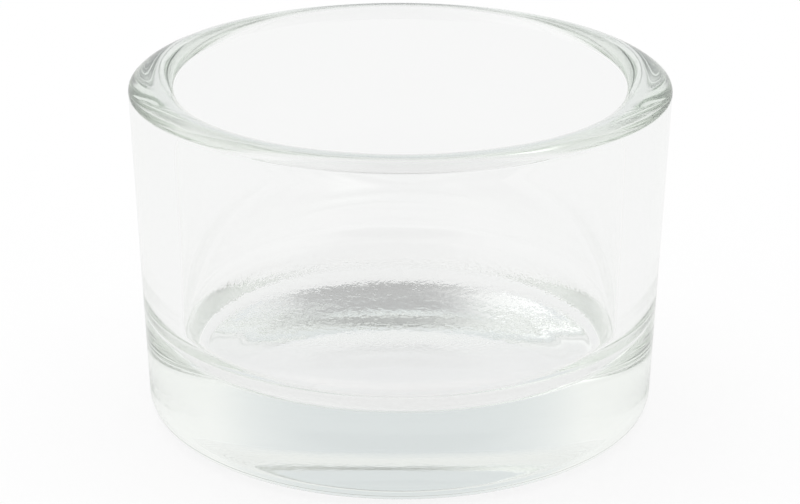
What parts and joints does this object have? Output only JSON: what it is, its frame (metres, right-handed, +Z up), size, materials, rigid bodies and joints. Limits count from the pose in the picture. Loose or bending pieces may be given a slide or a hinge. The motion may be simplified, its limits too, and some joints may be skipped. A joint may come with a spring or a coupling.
{
  "type": "candle bowl",
  "caption": "Low round bowl of thick clear glass with a heavy solid base, slightly flared wall and smooth rounded rim, open at the top for a tea light or small candle.",
  "frame": {"origin": "centre of the underside, on the plane of the table that the bearing ring stands on", "axes": "+Z up the bowl's axis of revolution, towards the rim; X and Y are equivalent, with -Y towards the viewer"},
  "size_m": [0.06, 0.06, 0.039],
  "materials": {
    "clear_glass": "clear, fire polished, faint green in the thickness, floor of the cavity finely rippled"
  },
  "bodies": {
    "root": {"glass_bowl": "clear_glass"}
  },
  "joints": []
}
